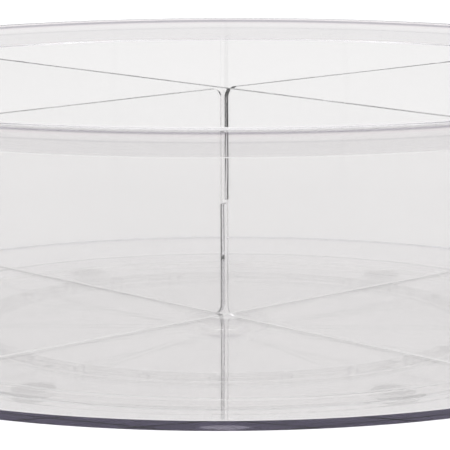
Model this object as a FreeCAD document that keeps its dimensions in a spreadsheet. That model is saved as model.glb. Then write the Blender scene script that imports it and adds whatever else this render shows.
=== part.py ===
import FreeCAD, Part
import os
import Sketcher

# Clear round divided caddy on a swivel base.
# Millimetres, +Z up. The origin is on the table, on the axis that the tub turns about.
# The two dividers stand on the diagonals, so the four bays face +X, +Y, -X and -Y.

SIZES = (
    ("foot_drop", 0.8, "feet below the base's lower edge"),
    ("foot_radius", 6.0, "soft pad"),
    ("foot_edge", 0.5, "rounding of a pad's lower edge"),
    ("foot_inset", 10.5, "base's edge to a pad's centre"),
    ("foot_play", 0.2, "pad to the cup round it"),
    ("cup_wall", 1.2, "ring round each pad"),
    ("base_inset", 31.2, "tub's lower edge to the base's edge"),
    ("base_skirt", 1.0, "base's lower edge to the web's underside"),
    ("web", 1.2, "web of the base"),
    ("base_rim", 2.4, "thickness of the base's rim"),
    ("base_rise", 2.4, "base's rim above its web"),
    ("base_edge", 0.5, "rounding of the base's rim"),
    ("rib_lift", 0.2, "ribs above the base's lower edge"),
    ("base_rib", 1.6, "thickness of a radial rib"),
    ("race_rib", 5.0, "width of the rib under the race"),
    ("hub_radius", 14.0, "boss round the pivot"),
    ("hub_wall", 2.4, "ring round the pin's head"),
    ("turn_gap", 0.4, "base to tub"),
    ("pin_radius", 5.0, "shank of the pivot pin"),
    ("pin_play", 0.08, "shank to its bore, on the radius"),
    ("head_radius", 9.0, "head of the pivot pin"),
    ("head", 1.1, "thickness of the pin's head"),
    ("head_play", 0.3, "head to hub, along the axis"),
    ("head_recess", 0.8, "hub's underside above the web's"),
    ("head_room", 0.6, "head to the ring round it"),
    ("head_edge", 0.4, "rounding of the pin's head"),
    ("pin_socket", 1.4, "depth of the pin's socket in the floor"),
    ("race_inset", 33.0, "base's edge to the circle that the balls run on"),
    ("ball_radius", 1.6, "bearing ball"),
    ("race_play", 0.15, "ball to the race and to the tub's flat underside"),
    ("race_section", 1.8, "section radius of the base's race"),
    ("cage_width", 5.0, "ball cage, across the ring"),
    ("cage_height", 1.0, "ball cage"),
    ("pocket_play", 0.25, "ball to its pocket in the cage"),
    ("tub_height", 80.0, "tub's lower edge to the top of its rim"),
    ("rim_radius", 146.0, "outside of the rim band"),
    ("rim_wall", 4.0, "wall at the rim"),
    ("rim_round", 1.2, "rounding of the rim's outer edge"),
    ("rim_ease", 0.8, "rounding of the rim's inner edge"),
    ("band_height", 7.6, "rim band"),
    ("band_step", 2.0, "rim band out from the wall under it"),
    ("band_ease", 0.5, "rounding of the band's lower edge"),
    ("wall_draft", 2.8, "wall's outside in from the band to the bottom"),
    ("wall", 2.6, "wall at the bottom"),
    ("floor", 2.3, "floor"),
    ("floor_round", 0.5, "rounding between floor and wall"),
    ("bottom_ease", 0.2, "rounding of the lower outer edge"),
    ("divider_height", 70.6, "divider"),
    ("divider_thick", 1.8, "divider"),
    ("divider_play", 0.6, "divider's end to the wall"),
    ("divider_top_round", 3.0, "divider's upper corners"),
    ("divider_foot_round", 2.4, "divider's lower corners"),
    ("divider_ease", 0.35, "rounding of a divider's top edge"),
    ("slot_play", 0.7, "divider to the slot that it crosses, each side"),
    ("slot_overrun", 0.7, "slot past half the height"),
    ("lead_in", 3.2, "rounding of a slot's mouth"),
    ("guide_depth", 4.2, "guide ribs, in from the wall"),
    ("guide_thick", 1.8, "one guide rib"),
    ("guide_top", 64.0, "top of the guide ribs above the tub's lower edge"),
    ("guide_relief", 0.3, "guide's groove into the wall"),
    ("guide_play", 0.3, "divider to a guide rib, each side"),
)

BALLS = 24
FEET = 6
BASE_RIBS = 12
GUIDES = 4
FULL_TURN = 360.0
DIAGONAL = 45.0
NEAR = 1e-4

doc = FreeCAD.newDocument("caddy")
sheet = doc.addObject("Spreadsheet::Sheet", "Sizes")
for row, (alias, value, meaning) in enumerate(SIZES, start=1):
    sheet.set("A%d" % row, meaning)
    sheet.set("B%d" % row, str(value))
    sheet.setAlias("B%d" % row, alias)
doc.recompute()


def size(formula):
    """The value of a formula of the sheet's sizes."""
    value = sheet.evalExpression(formula)
    return float(getattr(value, "Value", value))


# Heights of the base, its race and the tub above the table.
WEB_BOTTOM = "(Sizes.foot_drop + Sizes.base_skirt)"
WEB_TOP = "(%s + Sizes.web)" % WEB_BOTTOM
RIM_TOP = "(%s + Sizes.base_rise)" % WEB_TOP
TUB_BOTTOM = "(%s + Sizes.turn_gap)" % RIM_TOP
RIB_BOTTOM = "(Sizes.foot_drop + Sizes.rib_lift)"
HUB_BOTTOM = "(%s + Sizes.head_recess)" % WEB_BOTTOM
HEAD_TOP = "(%s - Sizes.head_play)" % HUB_BOTTOM
BALL_CENTRE = "(%s - Sizes.race_play - Sizes.ball_radius)" % TUB_BOTTOM
RACE_BOTTOM = "(%s - Sizes.ball_radius - Sizes.race_play)" % BALL_CENTRE

# Radii of the tub, the base under it and the base's race and feet, all from the rim's.
RIM_INSIDE = "(Sizes.rim_radius - Sizes.rim_wall)"
SHOULDER_RADIUS = "(Sizes.rim_radius - Sizes.band_step)"
BOTTOM_RADIUS = "(%s - Sizes.wall_draft)" % SHOULDER_RADIUS
BASE_RADIUS = "(%s - Sizes.base_inset)" % BOTTOM_RADIUS
RACE_RADIUS = "(%s - Sizes.race_inset)" % BASE_RADIUS
FOOT_CIRCLE = "(%s - Sizes.foot_inset)" % BASE_RADIUS

# The tub's own frame has its zero at the tub's lower edge.
BAND_BOTTOM = "(Sizes.tub_height - Sizes.band_height)"
OUTER_SLOPE = "(Sizes.wall_draft / %s)" % BAND_BOTTOM
FLOOR_RADIUS = "(%s - Sizes.wall)" % BOTTOM_RADIUS
INNER_SLOPE = "((%s - %s) / (Sizes.tub_height - Sizes.floor))" % (RIM_INSIDE, FLOOR_RADIUS)


def inner_wall(height):
    """Radius of the wall's inside at a height above the tub's lower edge."""
    return "(%s + %s * (%s - Sizes.floor))" % (FLOOR_RADIUS, INNER_SLOPE, height)


def mid_wall(height):
    """Radius of the middle of the wall at a height above the tub's lower edge."""
    outside = "(%s + %s * %s)" % (BOTTOM_RADIUS, OUTER_SLOPE, height)
    return "((%s + %s) / 2)" % (outside, inner_wall(height))


def origin_plane(body, role):
    """One of a body's own origin planes or axes."""
    for feature in body.Origin.OriginFeatures:
        if feature.Role == role:
            return feature
    raise ValueError(role)


def new_body(name):
    body = doc.addObject("PartDesign::Body", name)
    body.Label = name
    return body


def new_sketch(body, name, role, height=None):
    """A sketch on one of the body's origin planes, lifted to a height if one is given."""
    sketch = body.newObject("Sketcher::SketchObject", name)
    sketch.AttachmentSupport = (origin_plane(body, role), [""])
    sketch.MapMode = "FlatFace"
    if height is not None:
        sketch.setExpression("AttachmentOffset.Base.z", height)
    return sketch


def bind(sketch, constraint, formula):
    """Adds a constraint whose value follows a formula of the sheet."""
    index = sketch.addConstraint(constraint)
    sketch.setExpression("Constraints[%d]" % index, formula)


def place_point(sketch, geometry, point, across, up):
    """Ties a point's two coordinates to formulas."""
    horizontal = Sketcher.Constraint("DistanceX", -1, 1, geometry, point, size(across))
    bind(sketch, horizontal, across)
    vertical = Sketcher.Constraint("DistanceY", -1, 1, geometry, point, size(up))
    bind(sketch, vertical, up)


def draw_outline(sketch, corners):
    """A closed outline through corners that are pairs of formulas."""
    points = [FreeCAD.Vector(size(across), size(up), 0) for across, up in corners]
    following = points[1:] + points[:1]
    lines = []
    for start, end in zip(points, following):
        lines.append(sketch.addGeometry(Part.LineSegment(start, end), False))
    for line, after in zip(lines, lines[1:] + lines[:1]):
        sketch.addConstraint(Sketcher.Constraint("Coincident", line, 2, after, 1))
    for line, (across, up) in zip(lines, corners):
        place_point(sketch, line, 1, across, up)


def draw_circle(sketch, across, up, radius):
    centre = FreeCAD.Vector(size(across), size(up), 0)
    circle = Part.Circle(centre, FreeCAD.Vector(0, 0, 1), size(radius))
    index = sketch.addGeometry(circle, False)
    place_point(sketch, index, 3, across, up)
    bind(sketch, Sketcher.Constraint("Radius", index, size(radius)), radius)


def revolve(body, sketch, kind="PartDesign::Revolution"):
    """Turns a sketch round the body's vertical axis, as material or as a cut."""
    feature = body.newObject(kind, sketch.Name + "_turned")
    feature.Profile = sketch
    feature.ReferenceAxis = (sketch, ["V_Axis"])
    feature.Angle = FULL_TURN
    doc.recompute()
    return feature


def extrude(body, sketch, length, kind="PartDesign::Pad", both_ways=False):
    feature = body.newObject(kind, sketch.Name + "_pushed")
    feature.Profile = sketch
    feature.setExpression("Length", length)
    feature.Midplane = both_ways
    doc.recompute()
    return feature


def repeat_round(body, originals, count, name):
    """Repeats features evenly round the body's vertical axis."""
    pattern = body.newObject("PartDesign::PolarPattern", name)
    pattern.Originals = originals
    pattern.Axis = (origin_plane(body, "Z_Axis"), [""])
    pattern.Angle = FULL_TURN
    pattern.Occurrences = count
    body.Tip = pattern
    doc.recompute()
    return pattern


def edges_where(shape, wanted):
    """Names of the edges all of whose end points are wanted ones."""
    names = []
    for number, edge in enumerate(shape.Edges, start=1):
        if all(wanted(vertex.Point) for vertex in edge.Vertexes):
            names.append("Edge%d" % number)
    return names


def circles_at(shape, radius, height):
    """Names of the circles round the vertical axis at a radius and a height."""
    reach, level = size(radius), size(height)
    return edges_where(shape, lambda point: abs(abs(complex(point.x, point.y)) - reach) < NEAR
                       and abs(point.z - level) < NEAR)


def cross_edges_at(shape, across, up):
    """Names of the edges through a plate's thickness at a place on its outline."""
    return edges_where(shape, lambda point: abs(point.x - across) < NEAR
                       and abs(point.z - up) < NEAR)


def round_edges(body, feature, names, radius):
    """Rounds the named edges of a feature."""
    if not names:
        raise ValueError("no edges to round on %s" % body.Label)
    fillet = body.newObject("PartDesign::Fillet", "%s_round" % body.Label)
    fillet.Base = (feature, names)
    fillet.setExpression("Radius", radius)
    body.Tip = fillet
    doc.recompute()
    return fillet


def make_foot(name, angle):
    """A soft pad, glued into a cup on the base's underside."""
    pad = doc.addObject("Part::Cylinder", name + "_blank")
    pad.setExpression("Radius", "Sizes.foot_radius")
    pad.setExpression("Height", WEB_BOTTOM)
    pad.setExpression("Placement.Base.x", "%s * cos(%g)" % (FOOT_CIRCLE, angle))
    pad.setExpression("Placement.Base.y", "%s * sin(%g)" % (FOOT_CIRCLE, angle))
    doc.recompute()
    lower = [number for number, edge in enumerate(pad.Shape.Edges, start=1)
             if abs(edge.BoundBox.ZMax) < NEAR]
    foot = doc.addObject("Part::Fillet", name)
    foot.Base = pad
    foot.Edges = [(number, size("Sizes.foot_edge"), size("Sizes.foot_edge")) for number in lower]
    foot.Label = name
    return foot


def make_base():
    """The dish that stands on the table: hub, web, rim, race, ribs and foot cups."""
    body = new_body("swivel_base")
    bore = "(Sizes.pin_radius + Sizes.pin_play)"
    recess = "(Sizes.head_radius + Sizes.head_room)"
    ring = "(%s + Sizes.hub_wall)" % recess
    race_in = "(%s - Sizes.race_rib / 2)" % RACE_RADIUS
    race_out = "(%s + Sizes.race_rib / 2)" % RACE_RADIUS
    inside = "(%s - Sizes.base_rim)" % BASE_RADIUS
    section = new_sketch(body, "base_section", "XZ_Plane")
    draw_outline(section, (
        (bore, HUB_BOTTOM),
        (recess, HUB_BOTTOM),
        (recess, "Sizes.foot_drop"),
        (ring, "Sizes.foot_drop"),
        (ring, WEB_BOTTOM),
        (race_in, WEB_BOTTOM),
        (race_in, RIB_BOTTOM),
        (race_out, RIB_BOTTOM),
        (race_out, WEB_BOTTOM),
        (inside, WEB_BOTTOM),
        (inside, "Sizes.foot_drop"),
        (BASE_RADIUS, "Sizes.foot_drop"),
        (BASE_RADIUS, RIM_TOP),
        (inside, RIM_TOP),
        (inside, WEB_TOP),
        ("Sizes.hub_radius", WEB_TOP),
        ("Sizes.hub_radius", RIM_TOP),
        (bore, RIM_TOP),
    ))
    dish = revolve(body, section)
    edges = circles_at(dish.Shape, BASE_RADIUS, RIM_TOP)
    edges += circles_at(dish.Shape, BASE_RADIUS, "Sizes.foot_drop")
    round_edges(body, dish, edges, "Sizes.base_edge")

    race = new_sketch(body, "base_race", "XZ_Plane")
    draw_circle(race, RACE_RADIUS, "%s + Sizes.race_section" % RACE_BOTTOM,
                "Sizes.race_section")
    revolve(body, race, "PartDesign::Groove")

    overlap = "Sizes.web / 2"
    rib = new_sketch(body, "base_rib_plan", "XY_Plane", RIB_BOTTOM)
    half_rib = "Sizes.base_rib / 2"
    rib_start = "%s - Sizes.hub_wall / 2" % ring
    draw_outline(rib, (
        (rib_start, "-(%s)" % half_rib),
        (RACE_RADIUS, "-(%s)" % half_rib),
        (RACE_RADIUS, half_rib),
        (rib_start, half_rib),
    ))
    rib_pad = extrude(body, rib, "%s - %s + %s" % (WEB_BOTTOM, RIB_BOTTOM, overlap))
    repeat_round(body, [rib_pad], BASE_RIBS, "base_ribs")

    cup = new_sketch(body, "foot_cup_plan", "XY_Plane", "Sizes.foot_drop")
    cup_inside = "Sizes.foot_radius + Sizes.foot_play"
    draw_circle(cup, FOOT_CIRCLE, "0", cup_inside)
    draw_circle(cup, FOOT_CIRCLE, "0", "%s + Sizes.cup_wall" % cup_inside)
    cup_pad = extrude(body, cup, "Sizes.base_skirt + %s" % overlap)
    repeat_round(body, [cup_pad], FEET, "foot_cups")
    return body


def make_pin():
    """The headed pin, pressed into the tub's floor from below."""
    body = new_body("pivot_pin")
    head_bottom = "(%s - Sizes.head)" % HEAD_TOP
    pin_top = "%s + Sizes.pin_socket" % TUB_BOTTOM
    section = new_sketch(body, "pin_section", "XZ_Plane")
    draw_outline(section, (
        ("0", head_bottom),
        ("Sizes.head_radius", head_bottom),
        ("Sizes.head_radius", HEAD_TOP),
        ("Sizes.pin_radius", HEAD_TOP),
        ("Sizes.pin_radius", pin_top),
        ("0", pin_top),
    ))
    pin = revolve(body, section)
    edges = circles_at(pin.Shape, "Sizes.head_radius", head_bottom)
    round_edges(body, pin, edges, "Sizes.head_edge")
    return body


def make_cage():
    """The flat ring that spaces the balls."""
    body = new_body("ball_cage")
    ring = new_sketch(body, "cage_plan", "XY_Plane", "%s - Sizes.cage_height / 2" % BALL_CENTRE)
    draw_circle(ring, "0", "0", "%s - Sizes.cage_width / 2" % RACE_RADIUS)
    draw_circle(ring, "0", "0", "%s + Sizes.cage_width / 2" % RACE_RADIUS)
    extrude(body, ring, "Sizes.cage_height")
    pocket = new_sketch(body, "pocket_plan", "XY_Plane", BALL_CENTRE)
    draw_circle(pocket, RACE_RADIUS, "0", "Sizes.ball_radius + Sizes.pocket_play")
    cut = extrude(body, pocket, "Sizes.cage_height * 2", "PartDesign::Pocket", both_ways=True)
    repeat_round(body, [cut], BALLS, "pockets")
    return body


def make_ball(name, angle):
    ball = doc.addObject("Part::Sphere", name)
    ball.setExpression("Radius", "Sizes.ball_radius")
    ball.setExpression("Placement.Base.x", "%s * cos(%g)" % (RACE_RADIUS, angle))
    ball.setExpression("Placement.Base.y", "%s * sin(%g)" % (RACE_RADIUS, angle))
    ball.setExpression("Placement.Base.z", BALL_CENTRE)
    ball.Label = name
    return ball


def add_guides(body):
    """Four pairs of drafted ribs inside the wall, which hold the dividers' ends."""
    top = "Sizes.guide_top"
    root = "Sizes.floor / 2"
    face = "(%s - Sizes.guide_depth)"
    rib = new_sketch(body, "guide_section", "XZ_Plane")
    draw_outline(rib, (
        (face % inner_wall("Sizes.floor"), root),
        (mid_wall(root), root),
        (mid_wall(top), top),
        (face % inner_wall(top), top),
    ))
    across_pair = "Sizes.divider_thick + 2 * Sizes.guide_play"
    rib_pad = extrude(body, rib, "%s + 2 * Sizes.guide_thick" % across_pair, both_ways=True)

    groove = new_sketch(body, "guide_groove_section", "XZ_Plane")
    past_top = "(Sizes.guide_top + Sizes.guide_thick)"
    clear = "(%s - Sizes.guide_depth - Sizes.guide_thick)"
    deep = "(%s + Sizes.guide_relief)"
    draw_outline(groove, (
        (clear % inner_wall("Sizes.floor"), "Sizes.floor"),
        (deep % inner_wall("Sizes.floor"), "Sizes.floor"),
        (deep % inner_wall(past_top), past_top),
        (clear % inner_wall(past_top), past_top),
    ))
    slot = extrude(body, groove, across_pair, "PartDesign::Pocket", both_ways=True)
    repeat_round(body, [rib_pad, slot], GUIDES, "guides")


def make_tub():
    """Floor, drafted wall and rim band in one moulding, with the guides for the dividers."""
    body = new_body("tub")
    section = new_sketch(body, "tub_section", "XZ_Plane")
    draw_outline(section, (
        ("0", "Sizes.pin_socket"),
        ("Sizes.pin_radius", "Sizes.pin_socket"),
        ("Sizes.pin_radius", "0"),
        (BOTTOM_RADIUS, "0"),
        (SHOULDER_RADIUS, BAND_BOTTOM),
        ("Sizes.rim_radius", BAND_BOTTOM),
        ("Sizes.rim_radius", "Sizes.tub_height"),
        (RIM_INSIDE, "Sizes.tub_height"),
        (FLOOR_RADIUS, "Sizes.floor"),
        ("0", "Sizes.floor"),
    ))
    shell = revolve(body, section)
    roundings = (
        (BOTTOM_RADIUS, "0", "Sizes.bottom_ease"),
        ("Sizes.rim_radius", BAND_BOTTOM, "Sizes.band_ease"),
        ("Sizes.rim_radius", "Sizes.tub_height", "Sizes.rim_round"),
        (RIM_INSIDE, "Sizes.tub_height", "Sizes.rim_ease"),
        (FLOOR_RADIUS, "Sizes.floor", "Sizes.floor_round"),
    )
    for radius, height, rounding in roundings:
        edges = circles_at(shell.Shape, radius, height)
        shell = round_edges(body, shell, edges, rounding)
    add_guides(body)
    body.Placement.Rotation = FreeCAD.Rotation(FreeCAD.Vector(0, 0, 1), DIAGONAL)
    body.setExpression("Placement.Base.z", TUB_BOTTOM)
    return body


def make_divider(name, slot_up, angle):
    """A plate across the tub, slotted to half its height where it crosses the other one."""
    body = new_body(name)
    foot = "(%s - Sizes.divider_play)" % inner_wall("Sizes.floor")
    head = "(%s - Sizes.divider_play)" % inner_wall("(Sizes.floor + Sizes.divider_height)")
    side = "(Sizes.divider_thick / 2 + Sizes.slot_play)"
    if slot_up:
        mouth = "Sizes.divider_height"
        end = "(Sizes.divider_height / 2 - Sizes.slot_overrun)"
    else:
        mouth = "0"
        end = "(Sizes.divider_height / 2 + Sizes.slot_overrun)"
    slot = [(side, mouth), (side, end), ("-%s" % side, end), ("-%s" % side, mouth)]
    if slot_up:
        bottom_edge = [("-%s" % foot, "0"), (foot, "0")]
        top_edge = [(head, mouth)] + slot + [("-%s" % head, mouth)]
    else:
        bottom_edge = [("-%s" % foot, "0")] + slot[::-1] + [(foot, "0")]
        top_edge = [(head, "Sizes.divider_height"), ("-%s" % head, "Sizes.divider_height")]
    outline = new_sketch(body, name + "_outline", "XZ_Plane")
    draw_outline(outline, bottom_edge + top_edge)
    plate = extrude(body, outline, "Sizes.divider_thick", both_ways=True)
    roundings = (
        (head, "Sizes.divider_height", "Sizes.divider_top_round"),
        (foot, "0", "Sizes.divider_foot_round"),
        (side, mouth, "Sizes.lead_in"),
    )
    for across, up, rounding in roundings:
        edges = []
        for direction in (-1, 1):
            edges += cross_edges_at(plate.Shape, direction * size(across), size(up))
        plate = round_edges(body, plate, edges, rounding)
    top = size("Sizes.divider_height")
    long_edges = ["Edge%d" % number for number, edge in enumerate(plate.Shape.Edges, start=1)
                  if abs(edge.BoundBox.ZMin - top) < NEAR and edge.BoundBox.YLength < NEAR]
    round_edges(body, plate, long_edges, "Sizes.divider_ease")
    body.Placement.Rotation = FreeCAD.Rotation(FreeCAD.Vector(0, 0, 1), angle)
    body.setExpression("Placement.Base.z", "%s + Sizes.floor" % TUB_BOTTOM)
    return body


pieces = [make_base(), make_pin(), make_cage(), make_tub()]
pieces.append(make_divider("lower_divider", True, DIAGONAL))
pieces.append(make_divider("upper_divider", False, -DIAGONAL))
for number in range(BALLS):
    pieces.append(make_ball("bearing_ball_%02d" % (number + 1), number * FULL_TURN / BALLS))
for number in range(FEET):
    pieces.append(make_foot("foot_%d" % (number + 1), number * FULL_TURN / FEET))
doc.recompute()

for item in doc.Objects:
    if "Invalid" in item.State or "Error" in item.State:
        raise RuntimeError("%s failed: %s" % (item.Label, item.State))

os.makedirs("parts", exist_ok=True)
for piece in pieces:
    shape = piece.Shape
    if shape.isNull() or not shape.isValid() or len(shape.Solids) != 1:
        raise RuntimeError("%s has no sound solid" % piece.Label)
    shape.exportStep("parts/%s.step" % piece.Label)
    box = shape.optimalBoundingBox(False)
    print("%-18s volume %10.1f  z %6.2f to %6.2f" % (piece.Label, shape.Volume, box.ZMin, box.ZMax))
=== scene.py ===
import math

import bpy
from mathutils import Matrix, Vector


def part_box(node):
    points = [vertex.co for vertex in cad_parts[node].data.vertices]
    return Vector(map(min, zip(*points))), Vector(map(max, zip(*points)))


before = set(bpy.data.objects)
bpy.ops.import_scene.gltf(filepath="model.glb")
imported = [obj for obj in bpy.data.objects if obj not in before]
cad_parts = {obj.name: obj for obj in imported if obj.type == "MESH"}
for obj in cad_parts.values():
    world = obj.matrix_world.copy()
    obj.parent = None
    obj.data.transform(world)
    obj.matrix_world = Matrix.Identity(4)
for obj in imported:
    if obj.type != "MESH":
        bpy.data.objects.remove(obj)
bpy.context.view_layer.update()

# The photograph's camera: where it stands, how it is tilted and how long its lens is.
CAMERA_AWAY = 0.8701
CAMERA_ASIDE = 0.0001
CAMERA_HEIGHT = 0.1843
CAMERA_ROUND = math.radians(2.19)
CAMERA_DOWN = 0.1686
CAMERA_ROLL = 0.0031
SENSOR = 36.0
LENS = 230.2

WHITE = (1.0, 1.0, 1.0)
PLASTIC_IOR = 1.57
CAGE_IOR = 1.5
SILICONE_IOR = 1.41

# Light that runs along inside the floor comes out violet after this colour has worn it down.
BODY_COLOUR = (0.055, 0.003, 0.19)
TUB_DENSITY = 10.0
PIN_DENSITY = 2.0
SHEET_DENSITY = 0.8
BALL_DENSITY = 0.5

# Share of light that one polished wall lets through, before its body colour.
TUB_TINT = (0.942, 0.935, 0.930)
SHEET_TINT = (0.99, 0.99, 0.99)
BASE_TINT = (0.99, 0.988, 0.985)
BALL_TINT = (0.98, 0.98, 0.98)
CAGE_TINT = (0.95, 0.95, 0.95)
PAD_TINTS = ((0.9, 0.9, 0.91), (0.8, 0.8, 0.8))

# Share of light that goes straight on through each kind of surface, to or from a matt one.
CLEAR_SHARE = 0.985
CAGE_SHARE = 0.95
PAD_SHARE = 0.9

# How rough the strongest smudges are, on the sheets and balls and on the smoother mouldings.
ROUGHER_SMUDGE = 0.01
SMOOTHER_SMUDGE = 0.006

# How deep the ripple of a moulded face and the grain of the cage are.
RIPPLE = 0.00002
GRAIN_STRENGTH = 0.2

# How rough the cage and the pads are, from their smoothest to their dullest spots.
CAGE_ROUGHNESS = (0.06, 0.12)
PAD_ROUGHNESS = (0.12, 0.25)
PAD_CLEARNESS = 0.85

# The part of each noise, out of nought to one, over which it goes from nothing to its full effect.
SMUDGE_SPAN = (0.45, 0.75)
HAIRLINE_SPAN = (0.66, 0.72)
CLOUD_SPAN = (0.3, 0.7)
CAGE_SPAN = (0.3, 0.7)
DUST_SPAN = (0.35, 0.7)
CLOUD_SHADES = (0.985, 1.0)

# How many patches of each kind of noise there are to a metre.
SMUDGE_PATCHES = 38.0
HAIRLINE_PATCHES = 6.0
HAIRLINE_STRETCH = (1.0, 60.0, 60.0)
CLOUD_PATCHES = 9.0
RIPPLE_PATCHES = 22.0
CAGE_PATCHES = 300.0
GRAIN_PATCHES = 1400.0
DUST_PATCHES = 900.0

# The rim band on the outside of the wall: how tall it is, and how far in its face may reach.
BAND_HEIGHT = 0.0076
BAND_DEPTH = 0.0017
BAND_SLACK = 0.0001

# The rim band's painted shade and painted highlights, from its lower edge to its top, by height in
# millimetres: a plain face painted a little darker, a painted grey line for a fine groove, a painted
# highlight streak, a painted pinkish shade on the lip, the painted dark line where the outer edge rounds
# over, and the painted bright top. These lines are painted, not modelled in the tub's shape.
BAND_PAINTED_LIGHT = (
    (0.0, (0.87, 0.86, 0.865)),
    (3.7, (0.85, 0.845, 0.85)),
    (4.0, (0.70, 0.69, 0.71)),
    (4.4, (0.91, 0.90, 0.905)),
    (5.2, (0.97, 0.96, 0.965)),
    (5.9, (0.92, 0.86, 0.88)),
    (6.2, (0.50, 0.47, 0.52)),
    (6.4, (0.30, 0.28, 0.33)),
    (6.65, (0.50, 0.48, 0.54)),
    (6.9, (0.98, 0.98, 1.0)),
)

# How far from the frame's origin the pin's shank and its socket reach, and the slack in height there.
CONTACT_REACH = 0.0098
CONTACT_SLACK = 0.00003

# The floor: how far it goes each way, its matt grey, and the glow added to it as the camera sees it
# and as clear or glossy surfaces show it.
FLOOR_REACH = 8.0
FLOOR_GREY = (0.8, 0.8, 0.8)
FLOOR_SEEN = 0.4
FLOOR_MIRRORED = 0.19

# The room: its light on matt surfaces, its brightness to the camera, and the brightness of its front
# and back as clear or glossy surfaces show them.
ROOM_LIGHT = 0.7
ROOM_SEEN = 1.0
ROOM_FRONT = 0.75
ROOM_BACK = 1.0
ROOM_TURN = (-0.7, 0.3)

# The one lamp: a wide soft panel high above the caddy.
LAMP_PLACE = (0.0, 0.4, 2.2)
LAMP_AIM = (0.0, 0.2, 0.0)
LAMP_WIDE = 2.4
LAMP_HIGH = 2.0
LAMP_WATTS = 20

# The most surfaces that a ray may meet: in all, by reflection or refraction, and straight through.
LONGEST_PATH = 48
LONGEST_INSIDE = 40
LONGEST_STRAIGHT = 24


def set_light_paths():
    """The floor carries light across by dozens of inner reflections, so paths may be long."""
    cycles = bpy.context.scene.cycles
    cycles.max_bounces = LONGEST_PATH
    cycles.glossy_bounces = LONGEST_INSIDE
    cycles.transmission_bounces = LONGEST_INSIDE
    cycles.transparent_max_bounces = LONGEST_STRAIGHT


def add_camera():
    data = bpy.data.cameras.new("photo_camera")
    data.sensor_width = SENSOR
    data.lens = LENS
    camera = bpy.data.objects.new("photo_camera", data)
    bpy.context.scene.collection.objects.link(camera)
    place = Matrix.Rotation(CAMERA_ROUND, 4, "Z")
    place @= Matrix.Translation((CAMERA_ASIDE, -CAMERA_AWAY, CAMERA_HEIGHT))
    place @= Matrix.Rotation(math.pi / 2 - CAMERA_DOWN, 4, "X")
    place @= Matrix.Rotation(-CAMERA_ROLL, 4, "Z")
    camera.matrix_world = place
    bpy.context.scene.camera = camera


class Graph:
    """A small helper that adds and joins the nodes of one material or world."""

    def __init__(self, tree):
        self.tree = tree
        tree.nodes.clear()

    def node(self, kind, **values):
        """Adds a node, sets its properties by name and its inputs by label."""
        made = self.tree.nodes.new(kind)
        for key, value in values.items():
            if hasattr(made, key):
                setattr(made, key, value)
            else:
                made.inputs[key.replace("_", " ")].default_value = value
        return made

    def join(self, source, target):
        self.tree.links.new(source, target)

    def math(self, operation, first, second):
        """The output of a sum on two values, each a number or another node's output."""
        made = self.tree.nodes.new("ShaderNodeMath")
        made.operation = operation
        for socket, value in zip(made.inputs, (first, second)):
            if isinstance(value, (int, float)):
                socket.default_value = value
            else:
                self.join(value, socket)
        return made.outputs[0]

    def ramp(self, value, low, high, to_low, to_high):
        """Maps low..high of a value to to_low..to_high, and holds it at the ends."""
        made = self.tree.nodes.new("ShaderNodeMapRange")
        labels = ("From Min", "From Max", "To Min", "To Max")
        for label, number in zip(labels, (low, high, to_low, to_high)):
            made.inputs[label].default_value = number
        self.join(value, made.inputs["Value"])
        return made.outputs["Result"]

    def mix(self, share, first, second):
        """One shader or the other, by a share from nought to one."""
        made = self.tree.nodes.new("ShaderNodeMixShader")
        for socket, source in zip(made.inputs, (share, first, second)):
            self.join(source, socket)
        return made.outputs[0]

    def colour_mix(self, blend, share, first, second):
        """Blends two colours, each a triple or another node's output."""
        made = self.node("ShaderNodeMix", data_type="RGBA", blend_type=blend)
        for socket, value in zip((made.inputs[0], made.inputs[6], made.inputs[7]), (share, first, second)):
            if isinstance(value, tuple):
                socket.default_value = (*value, 1.0)
            elif isinstance(value, (int, float)):
                socket.default_value = value
            else:
                self.join(value, socket)
        return made.outputs[2]

    def noise(self, place, scale, detail=2.0, stretch=None):
        """Noise over the surface, drawn out along one axis if stretch is given."""
        if stretch:
            mapping = self.node("ShaderNodeMapping")
            mapping.inputs["Scale"].default_value = stretch
            self.join(place, mapping.inputs["Vector"])
            place = mapping.outputs["Vector"]
        made = self.node("ShaderNodeTexNoise", Scale=scale, Detail=detail)
        self.join(place, made.inputs["Vector"])
        return made.outputs["Fac"]

    def split(self, vector):
        """The three sockets X, Y and Z of a vector."""
        made = self.node("ShaderNodeSeparateXYZ")
        self.join(vector, made.inputs[0])
        return made.outputs["X"], made.outputs["Y"], made.outputs["Z"]

    def length(self, vector):
        made = self.node("ShaderNodeVectorMath", operation="LENGTH")
        self.join(vector, made.inputs[0])
        return made.outputs["Value"]

    def paint(self, kind, colour, socket="Color"):
        """A shader node with one plain colour."""
        made = self.node(kind)
        made.inputs[socket].default_value = (*colour, 1.0)
        return made

    def output(self, surface, volume=None, kind="ShaderNodeOutputMaterial"):
        end = self.node(kind)
        self.join(surface, end.inputs["Surface"])
        if volume:
            self.join(volume, end.inputs["Volume"])


def new_material(name):
    material = bpy.data.materials.new(name)
    material.use_nodes = True
    return material, Graph(material.node_tree)


def surface_place(graph):
    """A point's place on its piece, which stays put when the piece moves."""
    return graph.node("ShaderNodeTexCoord").outputs["Object"]


def see_through_shader(graph, ior, clearness=1.0):
    shader = graph.node("ShaderNodeBsdfPrincipled", IOR=ior)
    shader.inputs["Transmission Weight"].default_value = clearness
    return shader


def let_light_through(graph, shader, share):
    """Lets shadows and light from matt surfaces pass straight through a clear piece."""
    path = graph.node("ShaderNodeLightPath")
    straight = graph.math("MAXIMUM", path.outputs["Is Shadow Ray"], path.outputs["Is Diffuse Ray"])
    passing = graph.paint("ShaderNodeBsdfTransparent", (share, share, share))
    return graph.mix(straight, shader, passing.outputs[0])


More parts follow.
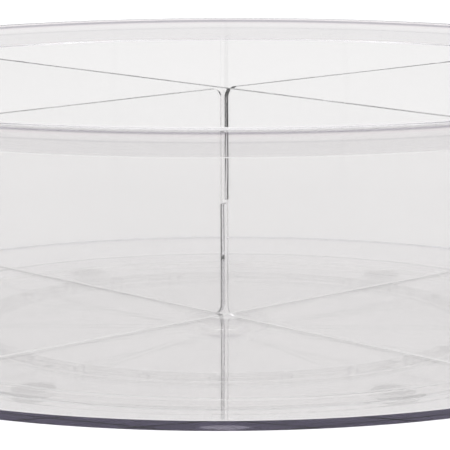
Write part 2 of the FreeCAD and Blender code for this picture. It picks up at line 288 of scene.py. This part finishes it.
def painted_band_light(graph, place):
    """The rim band's outer face: painted shade makes it a little darker than the wall, with painted shade
    and painted highlight lines for its lip.
    """
    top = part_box("tub")[1][2]
    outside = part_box("tub")[1][0]
    bottom = top - BAND_HEIGHT
    across, along, height = graph.split(place)
    flat = graph.node("ShaderNodeCombineXYZ")
    graph.join(across, flat.inputs["X"])
    graph.join(along, flat.inputs["Y"])
    # Painted shade and painted highlight lines, stop by stop up the rim band.
    painted_lines = graph.node("ShaderNodeValToRGB")
    stops = painted_lines.color_ramp.elements
    stops.remove(stops[1])
    for number, (millimetres, colour) in enumerate(BAND_PAINTED_LIGHT):
        share = millimetres / 1000 / BAND_HEIGHT
        stop = stops[0] if number == 0 else stops.new(share)
        stop.position = share
        stop.color = (*colour, 1.0)
    graph.join(graph.ramp(height, bottom, top, 0.0, 1.0), painted_lines.inputs["Fac"])
    on_band = graph.math("GREATER_THAN", height, bottom - BAND_SLACK)
    on_face = graph.math("GREATER_THAN", graph.length(flat.outputs[0]), outside - BAND_DEPTH)
    mask = graph.math("MULTIPLY", on_band, on_face)
    return graph.colour_mix("MIX", mask, WHITE, painted_lines.outputs["Color"])


def pin_contact(graph, place):
    """One where the pin's shank and its socket touch, as clear faces pressed together don't bend light."""
    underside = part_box("tub")[0][2]
    shank_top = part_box("pivot_pin")[1][2]
    height = graph.split(place)[2]
    above = graph.math("GREATER_THAN", height, underside + CONTACT_SLACK)
    below = graph.math("LESS_THAN", height, shank_top + CONTACT_SLACK)
    inside = graph.math("LESS_THAN", graph.length(place), CONTACT_REACH)
    return graph.math("MULTIPLY", graph.math("MULTIPLY", above, below), inside)


def clear_plastic(name, tint, density, smudge, ripple=0.0, has_painted_band=False, pressed=False):
    """Polished clear plastic with smudges, hairline scratches and a faint body colour.

    A piece with the band flag set carries the rim band's painted shade and painted highlight lines, and
    one that is pressed touches the pin or is the pin.
    """
    material, graph = new_material(name)
    place = surface_place(graph)
    shader = see_through_shader(graph, PLASTIC_IOR)

    smudges = graph.ramp(graph.noise(place, SMUDGE_PATCHES, 4.0), *SMUDGE_SPAN, 0.0, smudge)
    scratched = graph.noise(place, HAIRLINE_PATCHES, 3.0, HAIRLINE_STRETCH)
    hairlines = graph.ramp(scratched, *HAIRLINE_SPAN, 0.0, smudge * 2)
    graph.join(graph.math("ADD", smudges, hairlines), shader.inputs["Roughness"])

    cloud = graph.ramp(graph.noise(place, CLOUD_PATCHES), *CLOUD_SPAN, *CLOUD_SHADES)
    colour = graph.colour_mix("MULTIPLY", 1.0, tint, cloud)
    # Multiplies in the rim band's painted shade and painted highlight lines.
    if has_painted_band:
        colour = graph.colour_mix("MULTIPLY", 1.0, colour, painted_band_light(graph, place))
    graph.join(colour, shader.inputs["Base Color"])

    if ripple:
        bump = graph.node("ShaderNodeBump", Strength=1.0, Distance=ripple)
        graph.join(graph.noise(place, RIPPLE_PATCHES, 1.0), bump.inputs["Height"])
        graph.join(bump.outputs["Normal"], shader.inputs["Normal"])
    body = graph.paint("ShaderNodeVolumeAbsorption", BODY_COLOUR)
    body.inputs["Density"].default_value = density
    surface = let_light_through(graph, shader.outputs["BSDF"], CLEAR_SHARE)
    if pressed:
        open_way = graph.paint("ShaderNodeBsdfTransparent", WHITE)
        surface = graph.mix(pin_contact(graph, place), surface, open_way.outputs[0])
    graph.output(surface, body.outputs["Volume"])
    return material


def cloudy_plastic(name):
    """Natural plastic of the ball cage: see-through but milky, with a moulded grain."""
    material, graph = new_material(name)
    place = surface_place(graph)
    shader = see_through_shader(graph, CAGE_IOR)
    shader.inputs["Base Color"].default_value = (*CAGE_TINT, 1.0)
    milky = graph.noise(place, CAGE_PATCHES, 3.0)
    graph.join(graph.ramp(milky, *CAGE_SPAN, *CAGE_ROUGHNESS), shader.inputs["Roughness"])
    grain = graph.node("ShaderNodeBump", Strength=GRAIN_STRENGTH, Distance=RIPPLE)
    graph.join(graph.noise(place, GRAIN_PATCHES), grain.inputs["Height"])
    graph.join(grain.outputs["Normal"], shader.inputs["Normal"])
    graph.output(let_light_through(graph, shader.outputs["BSDF"], CAGE_SHARE))
    return material


def soft_silicone(name):
    """Clear soft pads, dulled by dust that they pick up from the table."""
    material, graph = new_material(name)
    shader = see_through_shader(graph, SILICONE_IOR, PAD_CLEARNESS)
    dust = graph.noise(surface_place(graph), DUST_PATCHES, 4.0)
    shade = graph.node("ShaderNodeValToRGB")
    for stop, colour in zip(shade.color_ramp.elements, PAD_TINTS):
        stop.color = (*colour, 1.0)
    graph.join(dust, shade.inputs["Fac"])
    graph.join(shade.outputs["Color"], shader.inputs["Base Color"])
    graph.join(graph.ramp(dust, *DUST_SPAN, *PAD_ROUGHNESS), shader.inputs["Roughness"])
    graph.output(let_light_through(graph, shader.outputs["BSDF"], PAD_SHARE))
    return material


def dress(node, material):
    """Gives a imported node's object a new material in each of its slots."""
    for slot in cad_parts[node].material_slots:
        slot.link = "OBJECT"
        slot.material = material


def floor_material():
    """Matt grey that takes shadows, with a plain glow that the camera and clear pieces see."""
    material, graph = new_material("floor_white")
    matt = graph.paint("ShaderNodeBsdfDiffuse", FLOOR_GREY)
    glow = graph.node("ShaderNodeEmission")
    path = graph.node("ShaderNodeLightPath")
    through = graph.math("MAXIMUM", path.outputs["Is Transmission Ray"], path.outputs["Is Glossy Ray"])
    mirrored = graph.math("MULTIPLY", through, FLOOR_MIRRORED)
    straight = graph.math("MULTIPLY", path.outputs["Is Camera Ray"], FLOOR_SEEN)
    graph.join(graph.math("MAXIMUM", straight, mirrored), glow.inputs["Strength"])
    both = graph.node("ShaderNodeAddShader")
    graph.join(matt.outputs[0], both.inputs[0])
    graph.join(glow.outputs[0], both.inputs[1])
    graph.output(both.outputs[0])
    return material


def add_floor():
    """A wide pale floor that keeps shadows and shows white past them."""
    corners = [(x * FLOOR_REACH, y * FLOOR_REACH, 0) for x, y in ((-1, -1), (1, -1), (1, 1), (-1, 1))]
    mesh = bpy.data.meshes.new("floor")
    mesh.from_pydata(corners, [], [(0, 1, 2, 3)])
    mesh.materials.append(floor_material())
    floor = bpy.data.objects.new("floor", mesh)
    bpy.context.scene.collection.objects.link(floor)


def add_world():
    """A white room that lights matt surfaces plainly and is dimmer in front, as seen in clear plastic."""
    world = bpy.data.worlds.new("studio")
    bpy.context.scene.world = world
    world.use_nodes = True
    graph = Graph(world.node_tree)
    plain = graph.paint("ShaderNodeBackground", WHITE)
    plain.inputs["Strength"].default_value = ROOM_LIGHT
    white = graph.paint("ShaderNodeBackground", WHITE)
    path = graph.node("ShaderNodeLightPath")
    facing = graph.split(graph.node("ShaderNodeTexCoord").outputs["Generated"])[1]
    by_side = graph.ramp(facing, *ROOM_TURN, ROOM_FRONT, ROOM_BACK)
    to_camera = graph.math("MULTIPLY", path.outputs["Is Camera Ray"], ROOM_SEEN)
    graph.join(graph.math("MAXIMUM", to_camera, by_side), white.inputs["Strength"])
    seen = graph.math("MAXIMUM", path.outputs["Is Camera Ray"], path.outputs["Is Transmission Ray"])
    seen = graph.math("MAXIMUM", seen, path.outputs["Is Glossy Ray"])
    graph.output(graph.mix(seen, plain.outputs[0], white.outputs[0]), kind="ShaderNodeOutputWorld")


def add_lamp(name, place, aim, wide, high, watts):
    data = bpy.data.lights.new(name, "AREA")
    data.shape = "RECTANGLE"
    data.size = wide
    data.size_y = high
    data.energy = watts
    lamp = bpy.data.objects.new(name, data)
    bpy.context.scene.collection.objects.link(lamp)
    lamp.location = place
    lamp.rotation_mode = "QUATERNION"
    lamp.rotation_quaternion = (Vector(aim) - Vector(place)).to_track_quat("-Z", "Y")


def dress_all():
    """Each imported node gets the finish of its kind."""
    tub = clear_plastic("tub_clear_plastic", TUB_TINT, TUB_DENSITY, SMOOTHER_SMUDGE, RIPPLE,
                        has_painted_band=True, pressed=True)
    sheet = clear_plastic("divider_clear_plastic", SHEET_TINT, SHEET_DENSITY, ROUGHER_SMUDGE, RIPPLE)
    base = clear_plastic("base_clear_plastic", BASE_TINT, SHEET_DENSITY, SMOOTHER_SMUDGE)
    ball = clear_plastic("ball_clear_plastic", BALL_TINT, BALL_DENSITY, ROUGHER_SMUDGE)
    cage = cloudy_plastic("cage_natural_plastic")
    pad = soft_silicone("foot_silicone")
    pin = clear_plastic("pin_clear_plastic", BASE_TINT, PIN_DENSITY, SMOOTHER_SMUDGE, pressed=True)
    finishes = {"tub": tub, "lower_divider": sheet, "upper_divider": sheet, "swivel_base": base,
                "pivot_pin": pin, "ball_cage": cage}
    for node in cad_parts:
        if node.startswith("foot"):
            dress(node, pad)
        elif node.startswith("bearing_ball"):
            dress(node, ball)
        else:
            dress(node, finishes[node])


bpy.context.scene.view_settings.view_transform = "Standard"
set_light_paths()
add_camera()
add_world()
add_floor()
add_lamp("overhead", LAMP_PLACE, LAMP_AIM, LAMP_WIDE, LAMP_HIGH, LAMP_WATTS)
dress_all()
